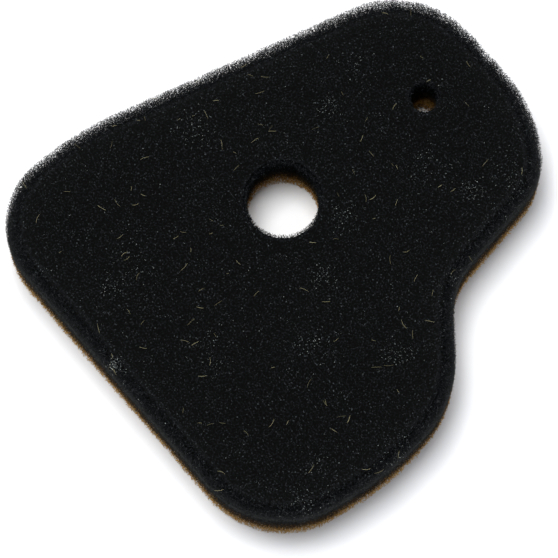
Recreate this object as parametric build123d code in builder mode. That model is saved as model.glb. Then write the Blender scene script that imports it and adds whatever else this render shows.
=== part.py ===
from build123d import *
import os

# A flat two-layer foam element for a scooter's air box: a fine-cell foam on top, a coarse-cell
# foam underneath, and a thin adhesive web that bonds the two. All three are die-cut together,
# so they share one outline and two through holes.
#
# Frame: origin on the axis of the centre hole, at the underside. +Z points up through the
# layers, and the long straight edge of the outline runs along X.

# Layers, mm
coarse_thickness = 8.0
web_thickness = 0.3
total_thickness = 23.0

# Holes, mm
centre_hole_diameter = 20.0
peg_hole_diameter = 7.5
peg_hole_centre = (3.5, 46.5)

# Outline, mm: corners of the straight-sided shape, each with the radius that rounds it.
# The concave corner beside the shoulder is the relief notch.
outline_corners = [
    ((-50.4, -64.5), 21.0),  # base edge, left end
    ((67.4, -64.5), 26.0),  # base edge, right end
    ((73.1, -27.0), 75.0),  # bulge of the right side
    ((71.0, -0.9), 31.0),  # right shoulder
    ((46.5, 18.8), 20.5),  # relief notch
    ((41.1, 56.0), 17.5),  # top lobe, right end
    ((24.2, 67.5), 41.0),  # crown of the top lobe
    ((-22.2, 67.5), 27.0),  # top lobe, left end
    ((-50.0, -29.6), 95.0),  # bend of the left side
]

# Heights of the layers' faces, mm
web_bottom = coarse_thickness
fine_bottom = coarse_thickness + web_thickness
fine_thickness = total_thickness - fine_bottom

with BuildSketch() as blank:
    with BuildLine():
        FilletPolyline(
            *[corner for corner, radius in outline_corners],
            radius=[radius for corner, radius in outline_corners],
            close=True,
        )
    make_face()
    Circle(centre_hole_diameter / 2, mode=Mode.SUBTRACT)
    with Locations(peg_hole_centre):
        Circle(peg_hole_diameter / 2, mode=Mode.SUBTRACT)

# Coarse-cell foam: the dirty side, which catches the large dust
with BuildPart() as coarse_foam_layer:
    with BuildSketch():
        add(blank.sketch)
    extrude(amount=coarse_thickness)

# Adhesive web between the two foams
with BuildPart() as bond_web:
    with BuildSketch(Plane.XY.offset(web_bottom)):
        add(blank.sketch)
    extrude(amount=web_thickness)

# Fine-cell foam: the clean side, which catches the rest
with BuildPart() as fine_foam_layer:
    with BuildSketch(Plane.XY.offset(fine_bottom)):
        add(blank.sketch)
    extrude(amount=fine_thickness)

coarse_foam_layer.part.label = "coarse_foam_layer"
bond_web.part.label = "bond_web"
fine_foam_layer.part.label = "fine_foam_layer"

os.makedirs("parts", exist_ok=True)
export_step(coarse_foam_layer.part, "parts/coarse_foam_layer.step")
export_step(bond_web.part, "parts/bond_web.step")
export_step(fine_foam_layer.part, "parts/fine_foam_layer.step")
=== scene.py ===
import bpy
import numpy as np
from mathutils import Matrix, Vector
from mathutils.geometry import delaunay_2d_cdt


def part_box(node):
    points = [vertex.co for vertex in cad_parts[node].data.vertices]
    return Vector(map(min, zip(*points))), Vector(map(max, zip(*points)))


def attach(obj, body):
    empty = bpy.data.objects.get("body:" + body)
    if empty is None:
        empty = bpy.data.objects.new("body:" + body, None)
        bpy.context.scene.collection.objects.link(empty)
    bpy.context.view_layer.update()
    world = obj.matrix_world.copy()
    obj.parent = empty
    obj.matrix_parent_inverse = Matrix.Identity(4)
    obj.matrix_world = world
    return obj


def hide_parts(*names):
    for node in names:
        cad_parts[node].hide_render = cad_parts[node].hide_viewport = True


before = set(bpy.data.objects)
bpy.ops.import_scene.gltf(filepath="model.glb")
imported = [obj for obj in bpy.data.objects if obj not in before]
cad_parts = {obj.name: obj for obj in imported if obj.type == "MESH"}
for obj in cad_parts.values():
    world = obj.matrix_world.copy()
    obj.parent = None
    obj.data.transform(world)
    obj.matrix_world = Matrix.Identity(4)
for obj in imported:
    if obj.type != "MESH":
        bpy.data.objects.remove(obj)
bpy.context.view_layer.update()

mm = 0.001  # shapes are worked out in millimetres and stored in metres
rowHeight = np.sqrt(3) / 2  # of a triangular lattice, for a step of 1
edgeFade = 0.6  # mm over which most of the light that leaks into a cut edge dies away
deepFade = 4.0  # mm for the rest of it
deepShare = 0.05
slopeHeight = 1.0  # mm below a layer's face over which its shaded core slopes away
print("frame loaded")

studio = {
    "viewCentre": (11.9, -11.6, 0.0),  # mm, the point the camera looks at
    "distance": 1018.0,  # mm
    "azimuth": 49.2,  # degrees, from a view along +Y
    "elevation": 78.0,  # degrees above the table
    "lens": 245.0,  # mm, on a 36 mm sensor
    "floorSize": 3.0,  # m
    "floorColour": "#f7f7f7",
    "keyPower": 15.2,  # W
    "keySize": 0.5,  # m
    "keyPlace": (-0.21, -0.015, 1.18),  # m, almost overhead and a little to the left
    "fillStrength": 0.47,
    "fillColour": "#eef4ff",
}


def hexColour(code):
    # sRGB hex to linear red, green, blue and alpha
    parts = [int(code[i : i + 2], 16) / 255 for i in (1, 3, 5)]
    return tuple(p / 12.92 if p <= 0.04045 else ((p + 0.055) / 1.055) ** 2.4 for p in parts) + (1.0,)


def addNode(tree, kind, inputs={}, **settings):
    # a node with its settings; an input is a plain value or the socket that feeds it
    node = tree.nodes.new(kind)
    for name, value in settings.items():
        setattr(node, name, value)
    for name, value in inputs.items():
        if isinstance(value, bpy.types.NodeSocket):
            tree.links.new(value, node.inputs[name])
        else:
            node.inputs[name].default_value = value
    return node


def newMaterial(name):
    material = bpy.data.materials.new(name)
    material.use_nodes = True
    tree = material.node_tree
    tree.nodes.clear()
    return material, tree


def placeCamera():
    turn = np.radians(studio["azimuth"])
    rise = np.radians(studio["elevation"])
    towards = Vector((np.sin(turn) * np.cos(rise), -np.cos(turn) * np.cos(rise), np.sin(rise)))
    camera = bpy.data.objects.new("camera", bpy.data.cameras.new("camera"))
    camera.data.lens = studio["lens"]
    camera.data.sensor_width = 36.0
    camera.data.clip_start = 0.05
    camera.location = (Vector(studio["viewCentre"]) + towards * studio["distance"]) * mm
    camera.rotation_euler = towards.to_track_quat("Z", "Y").to_euler()
    bpy.context.scene.collection.objects.link(camera)
    bpy.context.scene.camera = camera


def buildFloor():
    half = studio["floorSize"] / 2
    mesh = bpy.data.meshes.new("floor")
    corners = [(-half, -half, 0), (half, -half, 0), (half, half, 0), (-half, half, 0)]
    mesh.from_pydata(corners, [], [(0, 1, 2, 3)])
    floor = bpy.data.objects.new("floor", mesh)
    bpy.context.scene.collection.objects.link(floor)
    # Paper sweep, uncoated: plain, pale and without gloss.
    material, tree = newMaterial("paper, uncoated white")
    shader = addNode(
        tree, "ShaderNodeBsdfPrincipled", {"Base Color": hexColour(studio["floorColour"]), "Roughness": 0.9}
    )
    addNode(tree, "ShaderNodeOutputMaterial", {"Surface": shader.outputs["BSDF"]})
    mesh.materials.append(material)


def lightStudio():
    key = bpy.data.objects.new("softbox", bpy.data.lights.new("softbox", "AREA"))
    key.data.energy = studio["keyPower"]
    key.data.size = studio["keySize"]
    key.location = studio["keyPlace"]
    key.rotation_euler = Vector(studio["keyPlace"]).to_track_quat("Z", "Y").to_euler()
    bpy.context.scene.collection.objects.link(key)
    world = bpy.data.worlds.new("white room")
    world.use_nodes = True
    world.node_tree.nodes["Background"].inputs["Color"].default_value = hexColour(studio["fillColour"])
    world.node_tree.nodes["Background"].inputs["Strength"].default_value = studio["fillStrength"]
    bpy.context.scene.world = world
    bpy.context.scene.view_settings.view_transform = "Standard"


placeCamera()
buildFloor()
lightStudio()
print("studio ready")


def borderLoops(node):
    # closed loops of points, in mm, round the upward face of a CAD node, widest first;
    # the foam is on the left of each loop's direction of travel
    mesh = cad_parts[node].data
    follower = {}
    for face in mesh.polygons:
        if face.normal.z > 0.9:
            places = [mesh.vertices[i].co / mm for i in face.vertices]
            corners = [(round(place.x, 3), round(place.y, 3)) for place in places]
            for start, end in zip(corners, corners[1:] + corners[:1]):
                if end in follower and start in follower[end]:
                    follower[end].remove(start)
                else:
                    follower.setdefault(start, []).append(end)
    follower = {start: ends[0] for start, ends in follower.items() if ends}
    loops = []
    while follower:
        point = next(iter(follower))
        loop = []
        while point in follower:
            loop.append(point)
            point = follower.pop(point)
        loops.append(np.array(loop))
    return sorted(loops, key=lambda loop: -np.ptp(loop[:, 0]))


def loopLength(loop):
    return np.linalg.norm(loop - np.roll(loop, 1, axis=0), axis=1).sum()


def evenLoop(loop, count, phase):
    # points spaced evenly along a loop, with the directions that lead into the foam
    ring = np.vstack([loop, loop[:1]])
    along = np.concatenate([[0], np.cumsum(np.linalg.norm(np.diff(ring, axis=0), axis=1))])
    at = (np.arange(count) + phase) / count * along[-1]
    reach = 0.4  # mm each way, to find the direction of travel

    def place(s):
        s = np.mod(s, along[-1])
        return np.c_[np.interp(s, along, ring[:, 0]), np.interp(s, along, ring[:, 1])]

    travel = place(at + reach) - place(at - reach)
    travel /= np.linalg.norm(travel, axis=1)[:, None]
    return place(at), np.c_[-travel[:, 1], travel[:, 0]]


def insideLoop(points, loop):
    # even and odd crossings of a ray along +X
    inside = np.zeros(len(points), bool)
    for (ax, ay), (bx, by) in zip(loop, np.roll(loop, -1, axis=0)):
        crosses = (ay > points[:, 1]) != (by > points[:, 1])
        if crosses.any():
            inside ^= crosses & (points[:, 0] < ax + (points[:, 1] - ay) / (by - ay + 1e-12) * (bx - ax))
    return inside


def loopDistance(points, loop):
    nearest = np.full(len(points), np.inf)
    for a, b in zip(loop, np.roll(loop, -1, axis=0)):
        run = b - a
        share = np.clip(((points - a) @ run) / (run @ run), 0, 1)
        nearest = np.minimum(nearest, np.hypot(*(points - a - share[:, None] * run).T))
    return nearest


outerLoop, *holeLoops = borderLoops("fine_foam_layer")
loops = [outerLoop] + holeLoops
holes = [(loop.mean(0), np.linalg.norm(loop - loop.mean(0), axis=1).mean()) for loop in holeLoops]

# the outer distance is kept on a grid, because millions of points ask for it
gridStep = 0.5
gridMargin = 4.0
gridLow = outerLoop.min(0) - gridMargin
gridCount = np.ceil((np.ptp(outerLoop, axis=0) + 2 * gridMargin) / gridStep).astype(int) + 1
gridAxes = [gridLow[k] + gridStep * np.arange(gridCount[k]) for k in (0, 1)]
gridPoints = np.stack(np.meshgrid(*gridAxes, indexing="ij"), -1).reshape(-1, 2)
gridInset = loopDistance(gridPoints, outerLoop) * np.where(insideLoop(gridPoints, outerLoop), 1, -1)
gridInset = gridInset.reshape(gridCount)


def insets(points):
    # how far points are inside the outer edge and inside the foam round each hole, in mm
    place = (points - gridLow) / gridStep
    corner = np.clip(np.floor(place).astype(int), 0, gridCount - 2)
    u, v = np.clip(place - corner, 0, 1).T
    i, j = corner.T
    near = gridInset[i, j] * (1 - v) + gridInset[i, j + 1] * v
    far = gridInset[i + 1, j] * (1 - v) + gridInset[i + 1, j + 1] * v
    return [near * (1 - u) + far * u] + [np.linalg.norm(points - c, axis=1) - r for c, r in holes]


print("outline read, with", len(holes), "holes")


def addPiece(name, points, faces, material, **values):
    # an object from points in mm and triangles, without the points that no triangle uses;
    # each named list of values, one for each point, is kept for the material
    faces = np.asarray(faces)
    used, compact = np.unique(faces, return_inverse=True)
    mesh = bpy.data.meshes.new(name)
    mesh.vertices.add(len(used))
    mesh.vertices.foreach_set("co", (np.asarray(points, float)[used] * mm).ravel())
    mesh.loops.add(faces.size)
    mesh.loops.foreach_set("vertex_index", compact.ravel().astype(np.int32))
    mesh.polygons.add(len(faces))
    mesh.polygons.foreach_set("loop_start", np.arange(0, faces.size, 3))
    mesh.polygons.foreach_set("loop_total", np.full(len(faces), 3))
    mesh.update(calc_edges=True)
    for title, value in values.items():
        kept = np.asarray(value)[used].astype(np.float32)
        mesh.attributes.new(title, "FLOAT", "POINT").data.foreach_set("value", kept)
    mesh.materials.append(material)
    piece = bpy.data.objects.new(name, mesh)
    bpy.context.scene.collection.objects.link(piece)
    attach(piece, "root")
    print(name, len(faces), "triangles")
    return piece


def wave(points, scale, seed):
    # smooth waves between about -1 and 1, each about scale mm long
    draw = np.random.default_rng(seed)
    total = 0
    for k in range(6):
        direction = draw.normal(size=points.shape[1])
        direction /= np.linalg.norm(direction)
        length = scale * draw.uniform(0.7, 1.5)
        phase = draw.uniform(0, 6.28)
        total = total + np.sin(points @ direction * 2 * np.pi / length + phase)
    return total / 3.5


def unevenCells(cell, jitter, draw):
    # a plane cut through foam: the middles of its cells, the corners of their walls,
    # and the pairs of corners that each wall joins
    columns, rows = (np.ptp(outerLoop, axis=0) / (cell, cell * rowHeight)).astype(int) + 4
    column, row = [g.ravel() for g in np.meshgrid(np.arange(columns), np.arange(rows))]
    middles = outerLoop.min(0) - cell + np.c_[column + 0.5 * (row % 2), row * rowHeight] * cell
    middles = middles + draw.normal(0, jitter * cell, middles.shape)
    vertices, _, triangles, *_ = delaunay_2d_cdt([Vector(p) for p in middles.tolist()], [], [], 0, 1e-6)
    middles = np.array([tuple(v) for v in vertices])
    triangles = np.array(triangles)
    a, b, c = (middles[triangles[:, k]] for k in range(3))
    u, v = b - a, c - a
    twice = 2 * (u[:, 0] * v[:, 1] - u[:, 1] * v[:, 0])
    uu, vv = (u**2).sum(1), (v**2).sum(1)
    corners = a + np.c_[v[:, 1] * uu - u[:, 1] * vv, u[:, 0] * vv - v[:, 0] * uu] / twice[:, None]
    centroid = (a + b + c) / 3
    astray = np.linalg.norm(corners - centroid, axis=1) > 0.6 * cell
    corners[astray] = centroid[astray]
    sides = np.sort(triangles[:, [[0, 1], [1, 2], [2, 0]]].reshape(-1, 2), axis=1)
    owner = np.repeat(np.arange(len(triangles)), 3)
    order = np.lexsort(sides.T)
    same = (sides[order][1:] == sides[order][:-1]).all(1)
    walls = np.c_[owner[order][:-1][same], owner[order][1:][same]]
    return middles, corners, walls


def openDepth(look, k, z):
    # how far the open struts reach in from loop k before the shaded core of the foam,
    # whose upper edge slopes away near the face
    drop = look["high"] - z
    slope = look["shoulder"][k] * np.clip(1 - drop / slopeHeight, 0, 1)
    return np.maximum(look["wallDepth"][k], look["topDepth"][k] - drop * look["lean"]) + slope


def cellColours(column, row):
    # the three-way colouring of a triangular lattice; colour 0 marks the middle of each cell
    return (column - (row - row % 2) // 2 - row) % 3


def foamCore(look, seed):
    # the closed body of a foam layer, its faces made of small pits between raised ridges.
    # It stops short of the cut edges, where open struts take over.
    draw = np.random.default_rng(seed)
    low, high = look["low"], look["high"]
    points, faces, ridge = [], [], []
    rings = {"low": [], "high": []}
    ringRidge = 0.7  # of a full ridge, round the walls
    edgeRoom = 0.3  # of a cell, the least from the border to a point of the face
    pitRoom = 0.6  # and to a pit
    sameCorner = 0.18  # of a cell; corners closer than this become one
    rolling = 14.0  # mm, the length of the face's slow waves
    total = 0
    step = look["wallCell"] / np.sqrt(3)
    shake = look["wallJitter"] * step
    rows = int(round((high - low) / (step * rowHeight)))
    for k, loop in enumerate(loops):
        columns = int(round(loopLength(loop) / step / 3)) * 3
        for row in range(rows + 1):
            inner = 0 < row < rows
            place, inward = evenLoop(loop, columns, 0.5 * (row % 2))
            z = low + (high - low) * row / rows
            pit = (cellColours(np.arange(columns), row) == 0) & inner
            depth = openDepth(look, k, z) + draw.uniform(0, look["ragged"][k], columns)
            depth = depth + np.where(pit, look["wallPit"] * draw.uniform(0.5, 1.2, columns), 0)
            place = place + inward * depth[:, None] + draw.normal(0, shake, (columns, 2))
            level = np.full(columns, z - (0 if inner else look["lip"] * np.sign(row - 0.5)))
            points.append(np.c_[place, level + draw.normal(0, shake, columns) * inner])
            ridge.append(np.where(pit, 0.0, ringRidge))
            ring = total + np.arange(columns)
            if not inner:
                rings["low" if row == 0 else "high"].append(ring)
            if row < rows:
                after = np.roll(ring, -1)
                above = ring + columns
                aboveAfter = after + columns
                if row % 2 == 0:
                    faces += [np.c_[ring, after, above], np.c_[after, aboveAfter, above]]
                else:
                    faces += [np.c_[ring, aboveAfter, above], np.c_[ring, after, aboveAfter]]
            total += columns
    for side, z, sign in (("low", low, -1), ("high", high, 1)):
        cell = look[side + "Cell"]
        ringIndex = np.concatenate(rings[side])
        ringPoints = np.vstack(points)[ringIndex]
        middles, corners, _ = unevenCells(cell, look["jitter"], draw)
        _, single = np.unique(np.round(corners / (sameCorner * cell)), axis=0, return_index=True)
        corners = corners[np.sort(single)]
        flat = np.vstack([middles, corners])
        isPit = np.arange(len(flat)) < len(middles)
        free = [inset - openDepth(look, k, z) - look["ragged"][k] for k, inset in enumerate(insets(flat))]
        room = np.min(free, axis=0)
        keep = room > edgeRoom * cell
        flat, isPit = flat[keep], (isPit & (room > pitRoom * cell))[keep]
        borders = []
        start = 0
        for ring in rings[side]:
            order = start + np.arange(len(ring))
            borders.append(np.c_[order, np.roll(order, -1)])
            start += len(ring)
        everyPoint = np.vstack([ringPoints[:, :2], flat])
        _, _, triangles, sources, _, _ = delaunay_2d_cdt(
            [Vector(p) for p in everyPoint.tolist()], np.vstack(borders).tolist(), [], 0, 1e-6
        )
        triangles = np.array([s[0] for s in sources])[np.array(triangles)]
        onRing = np.flatnonzero((triangles < start).all(1))
        centre = everyPoint[triangles[onRing]].mean(1)
        outside = ~insideLoop(centre, ringPoints[borders[0][:, 0], :2])
        for border in borders[1:]:
            outside |= insideLoop(centre, ringPoints[border[:, 0], :2])
        triangles = np.delete(triangles, onRing[outside], axis=0)[:, ::sign]
        sunk = np.where(isPit, look[side + "Pit"] * draw.uniform(0.35, 1.2, len(flat)), 0)
        sunk = sunk + draw.uniform(0, look["ridgeDrop"], len(flat))
        level = z + sign * (look["unevenness"] * (wave(flat, rolling, seed + 2) - 1) - sunk)
        points.append(np.c_[flat, level])
        ridge.append(np.where(isPit, 0.0, draw.uniform(0.55, 1.0, len(flat))))
        faces.append(np.concatenate([ringIndex, total + np.arange(len(flat))])[triangles])
        total += len(flat)
    return np.vstack(points), np.vstack(faces), np.concatenate(ridge)


def cellEdges():
    # one cube of a body-centred packing of fourteen-sided cells: the ends of its 24 edges,
    # in quarters of the cube's side
    def isCorner(p):
        return sorted(c % 4 if c % 2 == 0 else 1 for c in p) == [0, 1, 2]

    steps = [s for s in np.ndindex(3, 3, 3) if s > (1, 1, 1) and sorted(abs(c - 1) for c in s) == [0, 1, 1]]
    ends = []
    for corner in filter(isCorner, np.ndindex(4, 4, 4)):
        for s in steps:
            other = tuple(c + d - 1 for c, d in zip(corner, s))
            if isCorner(other):
                ends.append((corner, other))
    return np.array(ends)


def strutSolids(a, b, width, draw):
    # a slim closed solid of four triangles from each a to its b
    run = b - a
    run /= np.linalg.norm(run, axis=1)[:, None]
    side = np.cross(run, draw.normal(size=run.shape))
    side /= np.linalg.norm(side, axis=1)[:, None]
    other = np.cross(run, side)
    width = width[:, None] / 2
    a, b = a - run * width, b + run * width
    points = np.stack([a - side * width, a + side * width, b - other * width, b + other * width], 1)
    first = 4 * np.arange(len(a))[:, None, None]
    faces = first + np.array([[[0, 1, 3], [1, 0, 2], [0, 3, 2], [1, 2, 3]]])
    return points.reshape(-1, 3), faces.reshape(-1, 3)


def cutDepth(look, points):
    # how deep points are inside the die-cut layer. Its outer wall pulls in at mid height, its
    # holes spring back a little smaller, and its upper edges are softly rounded.
    low, high = look["low"], look["high"]
    bulge = np.sin(np.pi * np.clip((points[:, 2] - low) / (high - low), 0, 1))
    drop = high - points[:, 2]
    depth = np.minimum(drop, points[:, 2] - low)
    for k, inset in enumerate(insets(points[:, :2])):
        radius = look["edgeRadius"][k]
        inset = inset + look["spring"][k] - look["waist"][k] * bulge
        rounded = radius - np.hypot(radius - inset, radius - drop)
        depth = np.minimum(depth, np.where((inset < radius) & (drop < radius), rounded, inset))
    return depth


def strutNet(look, seed):
    # open-cell foam: the edges of packed fourteen-sided cells, shaken out of order.
    # Only struts near the cut edges are kept, and the ones that cross the cut end there.
    draw = np.random.default_rng(seed)
    low, high, cell = look["low"], look["high"], look["cell"]
    turn = np.radians(17.0)  # so that no row of cells runs along an edge
    warpLength = 6.0  # mm
    shortest = 0.06  # mm; shorter stubs are dropped
    spin = np.array([[np.cos(turn), -np.sin(turn)], [np.sin(turn), np.cos(turn)]])
    middle = (outerLoop.min(0) + outerLoop.max(0)) / 2
    half = np.linalg.norm(np.ptp(outerLoop, axis=0)) / 2 + cell
    counts = [int(np.ceil(2 * half / cell))] * 2 + [int(np.ceil((high - low) / cell)) + 2]
    cubes = np.stack(np.meshgrid(*map(np.arange, counts), indexing="ij"), -1).reshape(-1, 3)

    def toPlace(lattice):
        place = lattice * cell / 4
        return np.c_[(place[:, :2] - half) @ spin.T + middle, place[:, 2] + low - cell]

    centre = toPlace(cubes * 4 + 2.0)
    near = np.zeros(len(cubes), bool)
    for k, inset in enumerate(insets(centre[:, :2])):
        reach = openDepth(look, k, centre[:, 2]) + look["overlap"] + cell
        near |= (inset > -look["spring"][k] - cell) & (inset < reach)
    period = 48  # of the shake, in quarter cubes
    mostShake = 0.35 * cell
    shake = draw.normal(0, look["shake"] * cell, (period, period, period, 3)).clip(-mostShake, mostShake)
    ends = (cubes[near][:, None, None] * 4 + cellEdges()[None]).reshape(-1, 3)
    i, j, k = (ends % period).T
    ends = toPlace(ends.astype(float)) + shake[i, j, k]
    ends = ends + look["warp"] * cell * np.stack([wave(ends, warpLength, seed + n) for n in (3, 4, 5)], 1)
    a, b = ends.reshape(-1, 2, 3).transpose(1, 0, 2)

    middles = (a + b) / 2
    within = np.zeros(len(a), bool)
    for k, inset in enumerate(insets(middles[:, :2])):
        within |= inset < openDepth(look, k, middles[:, 2]) + look["overlap"]
    a, b = a[within], b[within]
    depthA, depthB = cutDepth(look, a), cutDepth(look, b)
    swap = depthA < depthB
    a[swap], b[swap] = b[swap], a[swap].copy()
    depthA, depthB = np.maximum(depthA, depthB), np.minimum(depthA, depthB)
    kept = depthA > 0
    a, b, depthA, depthB = a[kept], b[kept], depthA[kept], depthB[kept]
    cut = depthB < 0
    spare = draw.uniform(0, look["fuzz"], cut.sum())
    share = np.clip((depthA[cut] + spare) / (depthA[cut] - depthB[cut]), 0.05, 1)
    b[cut] = a[cut] + (b[cut] - a[cut]) * share[:, None]
    long = np.linalg.norm(b - a, axis=1) > shortest
    a, b = a[long], b[long]
    points, faces = strutSolids(a, b, look["strut"] * draw.uniform(0.75, 1.3, len(a)), draw)
    points[:, 2] = points[:, 2].clip(low, high + look["nap"])
    return points, faces


def foamMaterial(name, look):
    # the core of the foam: ridges catch the light, and the cells between them fall into shade
    material, tree = newMaterial(name)
    ridge = addNode(tree, "ShaderNodeAttribute", attribute_name="ridge")
    place = addNode(tree, "ShaderNodeTexCoord").outputs["Object"]
    strut = addNode(
        tree, "ShaderNodeMapRange", {"Value": ridge.outputs["Fac"], "From Min": look["strutEdge"]}
    )
    blotch = addNode(
        tree, "ShaderNodeTexNoise", {"Vector": place, "Scale": 1 / (look["blotch"] * mm), "Detail": 3.0}
    )
    grain = addNode(
        tree, "ShaderNodeTexNoise", {"Vector": place, "Scale": 1 / (look["grain"] * mm), "Detail": 2.0}
    )
    glint = addNode(
        tree, "ShaderNodeMapRange", {"Value": grain.outputs["Fac"], "From Min": 0.42, "From Max": 0.7}
    )
    spark = addNode(
        tree, "ShaderNodeMapRange", {"Value": grain.outputs["Fac"], "From Min": 0.66, "From Max": 0.78}
    )
    lit = addNode(tree, "ShaderNodeMath", {0: strut.outputs[0], 1: glint.outputs[0]}, operation="MULTIPLY")
    tone = addNode(
        tree,
        "ShaderNodeMix",
        {0: blotch.outputs["Fac"], 6: hexColour(look["strutDark"]), 7: hexColour(look["strutLight"])},
        data_type="RGBA",
    )
    colour = addNode(
        tree,
        "ShaderNodeMix",
        {0: lit.outputs[0], 6: hexColour(look["pit"]), 7: tone.outputs[2]},
        data_type="RGBA",
    )
    colour = addNode(
        tree,
        "ShaderNodeMix",
        {0: spark.outputs[0], 6: colour.outputs[2], 7: hexColour(look["glint"])},
        data_type="RGBA",
    )
    rough = addNode(
        tree, "ShaderNodeMapRange", {"Value": lit.outputs[0], "To Min": 0.95, "To Max": look["roughness"]}
    )
    bump = addNode(
        tree,
        "ShaderNodeBump",
        {"Height": grain.outputs["Fac"], "Strength": 0.6, "Distance": look["grain"] * mm * 0.4},
    )
    shader = addNode(
        tree,
        "ShaderNodeBsdfPrincipled",
        {
            "Base Color": shadeByPlace(tree, place, colour.outputs[2], look),
            "Roughness": rough.outputs[0],
            "Normal": bump.outputs["Normal"],
            "IOR": 1.5,
            "Specular IOR Level": look["specular"],
        },
    )
    addNode(tree, "ShaderNodeOutputMaterial", {"Surface": shader.outputs["BSDF"]})
    return material


def strutMaterial(name, look):
    # cut struts of the same foam: each one differs a little in shade, and a few catch the light
    material, tree = newMaterial(name)
    place = addNode(tree, "ShaderNodeTexCoord").outputs["Object"]
    each = addNode(tree, "ShaderNodeNewGeometry").outputs["Random Per Island"]
    spark = addNode(tree, "ShaderNodeMapRange", {"Value": each, "From Min": 1 - 2 * look["sparkShare"]})
    tone = addNode(
        tree,
        "ShaderNodeMix",
        {0: each, 6: hexColour(look["cutDark"]), 7: hexColour(look["cutLight"])},
        data_type="RGBA",
    )
    colour = addNode(
        tree,
        "ShaderNodeMix",
        {0: spark.outputs[0], 6: tone.outputs[2], 7: hexColour(look["glint"])},
        data_type="RGBA",
    )
    rough = addNode(tree, "ShaderNodeMapRange", {"Value": each, "To Min": 0.8, "To Max": look["roughness"]})
    shader = addNode(
        tree,
        "ShaderNodeBsdfPrincipled",
        {
            "Base Color": shadeByPlace(tree, place, colour.outputs[2], look),
            "Roughness": rough.outputs[0],
            "IOR": 1.5,
            "Specular IOR Level": look["specular"],
        },
    )
    addNode(tree, "ShaderNodeOutputMaterial", {"Surface": shader.outputs["BSDF"]})
    return material


def shadeByPlace(tree, place, colour, look):
    # lightens the cut edges, then blends in each of the look's bands, which fade from one
    # height in mm to another
    edge = addNode(tree, "ShaderNodeAttribute", attribute_name="edge").outputs["Fac"]
    share = addNode(tree, "ShaderNodeMath", {0: edge, 1: look["edgeShare"]}, operation="MULTIPLY")
    colour = addNode(
        tree,
        "ShaderNodeMix",
        {0: share.outputs[0], 6: colour, 7: hexColour(look["edgeTone"])},
        data_type="RGBA",
    ).outputs[2]
    height = addNode(tree, "ShaderNodeSeparateXYZ", {"Vector": place}).outputs["Z"]
    waver = addNode(
        tree, "ShaderNodeTexNoise", {"Vector": place, "Scale": 1 / (look["waver"] * mm), "Detail": 1.0}
    )
    for start, end, code, most in look["bands"]:
        shift = addNode(
            tree,
            "ShaderNodeMath",
            {0: waver.outputs["Fac"], 1: look["waverHeight"] * mm, 2: height},
            operation="MULTIPLY_ADD",
        )
        amount = addNode(
            tree,
            "ShaderNodeMapRange",
            {"Value": shift.outputs[0], "From Min": start * mm, "From Max": end * mm, "To Max": most},
        )
        colour = addNode(
            tree, "ShaderNodeMix", {0: amount.outputs[0], 6: colour, 7: hexColour(code)}, data_type="RGBA"
        ).outputs[2]
    return colour


def foamPiece(name, node, slot, points, faces, material, **values):
    # the foam looks lighter towards its cut edges, where light leaks in from the side
    inset = insets(points[:, :2])[0].clip(0)
    edge = (1 - deepShare) * np.exp(-inset / edgeFade) + deepShare * np.exp(-inset / deepFade)
    piece = addPiece(name, points, faces, material, edge=edge, **values)
    if node:
        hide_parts(node)


# Polyurethane ether foam, dyed black through, fully reticulated and die cut: a deep matt black,
# because light that enters the open cells is lost, with a faint grey shine on the nearest struts.
fineLow, fineHigh = [corner.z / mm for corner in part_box("fine_foam_layer")]
fineFoam = {
    "low": fineLow,
    "high": fineHigh,
    "highCell": 0.8,  # mm across a cell on the top face; the real cells are about 0.6
    "highPit": 0.5,
    "lowCell": 6.0,  # the face on the adhesive web is hidden
    "lowPit": 0.0,
    "wallCell": 1.2,
    "wallPit": 0.4,
    "wallJitter": 0.1,
    "jitter": 0.2,
    "ridgeDrop": 0.14,
    "unevenness": 0.1,
    "lip": 0.1,  # mm that the core's border lies under its face
    "topDepth": (3.0, 0.5, 0.3),  # mm of open struts at the outer edge and at each hole
    "wallDepth": (0.9, 0.25, 0.2),
    "shoulder": (1.0, 0.0, 0.0),
    "ragged": (0.5, 0.2, 0.1),
    "lean": np.tan(np.radians(12)),
    "overlap": 0.5,  # mm that struts run on into the core
    "cell": 1.2,
    "strut": 0.1,
    "shake": 0.15,
    "warp": 0.45,
    "fuzz": 0.3,
    "nap": 0.12,
    "edgeRadius": (1.2, 0.3, 0.3),
    "waist": (0.3, 0.0, 0.0),
    "spring": (0.0, 0.35, 0.15),
    "strutEdge": 0.45,
    "strutDark": "#121314",
    "strutLight": "#2b2f31",
    "pit": "#080808",
    "glint": "#5c6163",
    "cutDark": "#0d0e0e",
    "cutLight": "#25282a",
    "sparkShare": 0.06,
    "roughness": 0.45,
    "specular": 0.03,
    "blotch": 1.6,
    "grain": 0.4,
    "edgeTone": "#454645",
    "edgeShare": 1.0,
    "bands": ((15.0, 8.5, "#523c1c", 0.85),),
    "waver": 1.5,
    "waverHeight": 1.5,
}


def buildFineFoam(look):
    points, faces, ridge = foamCore(look, 11)
    core = foamMaterial("polyurethane foam, dyed black, reticulated", look)
    foamPiece("fine_foam_body", "fine_foam_layer", "fine_foam", points, faces, core, ridge=ridge)
    points, faces = strutNet(look, 21)
    material = strutMaterial("polyurethane struts, dyed black, die cut", look)
    first = points[faces[:, 0]]
    atHole = np.argmin(np.abs(insets(first[:, :2])), axis=0) > 0
    splitX = 10.0  # mm, which shares the struts out evenly
    right, front = first[:, 0] > splitX, first[:, 1] < 0
    sides = {
        "hole_edges": atHole,
        "shoulder_edge": ~atHole & right & ~front,
        "lobe_edge": ~atHole & ~right & ~front,
        "left_edge": ~atHole & ~right & front,
        "right_edge": ~atHole & right & front,
    }
    for name, chosen in sides.items():
        foamPiece("fine_foam_" + name, None, "fine_foam", points, faces[chosen], material)


buildFineFoam(fineFoam)
print("fine foam built")

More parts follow.
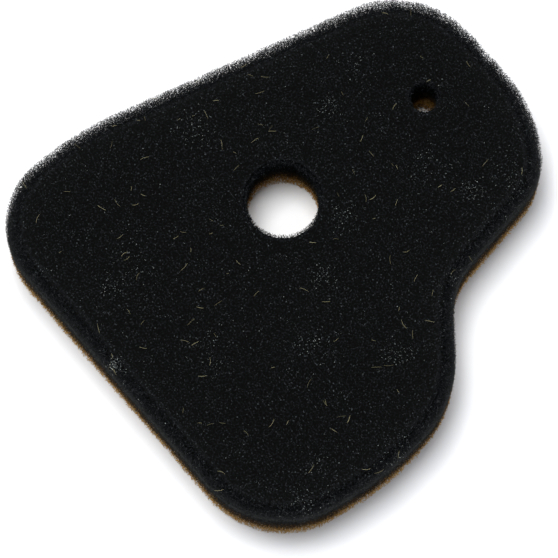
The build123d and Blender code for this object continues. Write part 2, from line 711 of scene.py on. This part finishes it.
# Polyurethane ester foam in its own amber, coarse cells, reticulated and die cut: see-through
# struts look pale where light comes back off the table and brown in the shade of the black foam.
coarseLow, coarseHigh = [corner.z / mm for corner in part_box("coarse_foam_layer")]
coarseFoam = {
    "low": coarseLow,
    "high": coarseHigh,
    "highCell": 6.0,
    "highPit": 0.0,
    "lowCell": 1.6,
    "lowPit": 0.9,
    "wallCell": 1.5,
    "wallPit": 0.8,
    "wallJitter": 0.12,
    "jitter": 0.18,
    "ridgeDrop": 0.15,
    "unevenness": 0.05,
    "lip": 0.1,
    "topDepth": (1.9, 1.6, 0.6),
    "wallDepth": (1.9, 1.6, 0.6),
    "shoulder": (0.0, 0.0, 0.0),
    "ragged": (0.3, 0.2, 0.1),
    "lean": 0.0,
    "overlap": 0.35,
    "cell": 1.7,
    "strut": 0.18,
    "shake": 0.12,
    "warp": 0.35,
    "fuzz": 0.4,
    "nap": 0.0,
    "edgeRadius": (0.3, 0.3, 0.3),
    "waist": (0.2, 0.0, 0.0),
    "spring": (0.0, 0.1, 0.9),
    "strutEdge": 0.4,
    "strutDark": "#a9762a",
    "strutLight": "#dda648",
    "pit": "#6a3d0a",
    "glint": "#f0d596",
    "cutDark": "#b07c2e",
    "cutLight": "#e2b158",
    "sparkShare": 0.04,
    "roughness": 0.45,
    "specular": 0.3,
    "blotch": 7.0,
    "grain": 0.5,
    "edgeTone": "#e0b96e",
    "edgeShare": 0.4,
    "bands": ((3.0, 0.5, "#f0dcae", 0.5), (4.0, 9.0, "#2a1704", 0.85)),
    "waver": 1.5,
    "waverHeight": 1.6,
}


def buildCoarseFoam(look):
    points, faces, ridge = foamCore(look, 31)
    points[:, 2] = points[:, 2].clip(look["low"], look["high"])
    core = foamMaterial("polyurethane foam, amber, reticulated", look)
    foamPiece("coarse_foam_body", "coarse_foam_layer", "coarse_foam", points, faces, core, ridge=ridge)
    points, faces = strutNet(look, 41)
    material = strutMaterial("polyurethane struts, amber, die cut", look)
    foamPiece("coarse_foam_edges", None, "coarse_foam", points, faces, material)


buildCoarseFoam(coarseFoam)
print("coarse foam built")

# Polyamide hot-melt web: an open net of brownish, faintly glossy strands, melted into both foams.
webLow, webHigh = [corner.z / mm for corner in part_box("bond_web")]
bondWeb = {
    "cell": 2.6,  # mm between strands
    "strand": 0.3,
    "inset": 0.4,  # mm that the net stays back from the cut edges
    "skin": 0.1,  # mm from a strand's middle to either face of the web
    "jitter": 0.22,
    "colour": "#4a3a26",
    "thickColour": "#2c2115",
    "roughness": 0.35,
}


def buildBondWeb(look):
    draw = np.random.default_rng(51)
    _, corners, walls = unevenCells(look["cell"], look["jitter"], draw)
    deep = np.min(insets(corners), axis=0) > look["inset"]
    walls = walls[deep[walls].all(1)]
    places = np.c_[corners, draw.uniform(webLow + look["skin"], webHigh - look["skin"], len(corners))]
    a, b = places[walls[:, 0]], places[walls[:, 1]]
    apart = np.linalg.norm(b - a, axis=1) > 0.1
    a, b = a[apart], b[apart]
    points, faces = strutSolids(a, b, look["strand"] * draw.uniform(0.7, 1.3, len(a)), draw)
    points[:, 2] = points[:, 2].clip(webLow, webHigh)
    material, tree = newMaterial("polyamide hot-melt web")
    place = addNode(tree, "ShaderNodeTexCoord").outputs["Object"]
    clump = addNode(tree, "ShaderNodeTexNoise", {"Vector": place, "Scale": 1 / (1.5 * mm)})
    colour = addNode(
        tree,
        "ShaderNodeMix",
        {0: clump.outputs["Fac"], 6: hexColour(look["thickColour"]), 7: hexColour(look["colour"])},
        data_type="RGBA",
    )
    shader = addNode(
        tree,
        "ShaderNodeBsdfPrincipled",
        {"Base Color": colour.outputs[2], "Roughness": look["roughness"], "IOR": 1.53},
    )
    addNode(tree, "ShaderNodeOutputMaterial", {"Surface": shader.outputs["BSDF"]})
    piece = addPiece("bond_web_net", points, faces, material)
    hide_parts("bond_web")


buildBondWeb(bondWeb)
print("bond web built")

# What the engine drew in: straw-coloured plant fibres, and pale dust that the cells hold.
debris = {
    "fibreWidth": 0.075,  # mm
    "fibreColours": ("#6e6749", "#c2ba90"),
    "fibreCount": 125,
    "fibreLength": (0.8, 2.8),  # mm
    "speckSize": (0.1, 0.24),  # mm
    "speckColours": ("#5a5f5d", "#b4bab6"),
    "speckCount": 420,
    "patchCount": 17,  # places where dust has gathered
    "patchSpread": (1.6, 3.6),  # mm
    "patchSpecks": (35, 85),
    "scuff": (5.0, -62.0),  # mm, a pale rubbed place near the middle of the long straight edge
    "scuffSpread": 1.3,  # mm
    "scuffSpecks": 110,
    "scuffFibres": 4,
    "edgeClear": 0.6,  # mm from the cut edges to the middle of a fibre or a patch
    "fibreLift": 0.06,  # mm above the face
    "fibreTilt": 0.25,  # mm from end to end, at most
}


def surfaceHeight(places):
    # the top face, and the soft edge that falls away from it
    radius = fineFoam["edgeRadius"][0]
    inset = np.min(insets(places), axis=0).clip(0.05, radius)
    return fineHigh - radius + np.sqrt(radius**2 - (radius - inset) ** 2)


def dryMaterial(name, colours):
    # a dry, dull finish, each fibre or grain with its own shade
    material, tree = newMaterial(name)
    each = addNode(tree, "ShaderNodeNewGeometry").outputs["Random Per Island"]
    colour = addNode(
        tree,
        "ShaderNodeMix",
        {0: each, 6: hexColour(colours[0]), 7: hexColour(colours[1])},
        data_type="RGBA",
    )
    shader = addNode(tree, "ShaderNodeBsdfPrincipled", {"Base Color": colour.outputs[2], "Roughness": 0.8})
    addNode(tree, "ShaderNodeOutputMaterial", {"Surface": shader.outputs["BSDF"]})
    return material


def strewn(count, draw):
    # places anywhere on the top face, but for its border
    places = draw.uniform(outerLoop.min(0), outerLoop.max(0), (count * 3, 2))
    return places[np.min(insets(places), axis=0) > debris["edgeClear"]][:count]


def buildFibres(look):
    draw = np.random.default_rng(61)
    scuffed = draw.normal(look["scuff"], look["scuffSpread"], (look["scuffFibres"], 2))
    places = np.vstack([strewn(look["fibreCount"], draw), scuffed])
    turns = draw.uniform(0, 2 * np.pi, len(places))
    spans = draw.uniform(*look["fibreLength"], len(places))
    weights = draw.uniform(0.65, 1.0, len(places))
    count = 7  # rings along a fibre
    sides = 3
    points, faces = [], []
    ringTurn = np.arange(sides) / sides * 2 * np.pi
    for middle, turn, span, weight in zip(places, turns, spans, weights):
        along = np.linspace(-0.5, 0.5, count)
        heading = turn + draw.uniform(-1.0, 1.0) * along
        line = np.cumsum(np.c_[np.cos(heading), np.sin(heading)] * span / (count - 1), axis=0)
        line = line - line.mean(0) + middle
        tilt = draw.uniform(0, look["fibreTilt"]) * (0.5 + draw.choice((-1, 1)) * along)
        z = surfaceHeight(line) + look["fibreLift"] + tilt
        across = np.c_[-np.sin(heading), np.cos(heading)]
        radius = look["fibreWidth"] / 2 * weight * (1 - 1.2 * along**2)
        ring = np.zeros((count, sides, 3))
        ring[:, :, :2] = line[:, None] + across[:, None] * (radius[:, None] * np.cos(ringTurn))[:, :, None]
        ring[:, :, 2] = z[:, None] + radius[:, None] * np.sin(ringTurn)
        index = len(points) * count * sides + np.arange(count * sides).reshape(count, sides)
        after = np.roll(index, -1, axis=1)
        faces += [np.stack([index[:-1], after[:-1], after[1:]], -1).reshape(-1, 3)]
        faces += [np.stack([index[:-1], after[1:], index[1:]], -1).reshape(-1, 3)]
        faces += [index[:1, ::-1], index[-1:]]
        points.append(ring.reshape(-1, 3))
    material = dryMaterial("plant fibre, dry", look["fibreColours"])
    piece = addPiece("dust_fibres", np.vstack(points), np.vstack(faces), material)


def buildSpecks(look):
    draw = np.random.default_rng(71)
    places = [strewn(look["speckCount"], draw)]
    places.append(draw.normal(look["scuff"], look["scuffSpread"], (look["scuffSpecks"], 2)))
    for middle in strewn(look["patchCount"], draw):
        count = draw.integers(*look["patchSpecks"])
        places.append(draw.normal(middle, draw.uniform(*look["patchSpread"]), (count, 2)))
    places = np.vstack(places)
    places = places[np.min(insets(places), axis=0) > 0.1]
    size = draw.uniform(*look["speckSize"], len(places)) * draw.uniform(0.6, 1.2, len(places))
    centre = np.c_[places, surfaceHeight(places) - draw.uniform(0, 0.15, len(places)) + size / 2]
    octahedron = np.vstack([np.eye(3), -np.eye(3)]) / 2
    grains = octahedron[None] * draw.uniform(0.6, 1.4, (len(places), 6, 1))
    points = (centre[:, None] + grains * size[:, None, None]).reshape(-1, 3)
    upper = [[0, 1, 2], [1, 3, 2], [3, 4, 2], [4, 0, 2]]
    lower = [[1, 0, 5], [3, 1, 5], [4, 3, 5], [0, 4, 5]]
    corners = np.array(upper + lower)
    faces = (6 * np.arange(len(places))[:, None, None] + corners[None]).reshape(-1, 3)
    piece = addPiece("dust_specks", points, faces, dryMaterial("road dust, dry", look["speckColours"]))


buildFibres(debris)
buildSpecks(debris)
print("debris laid")
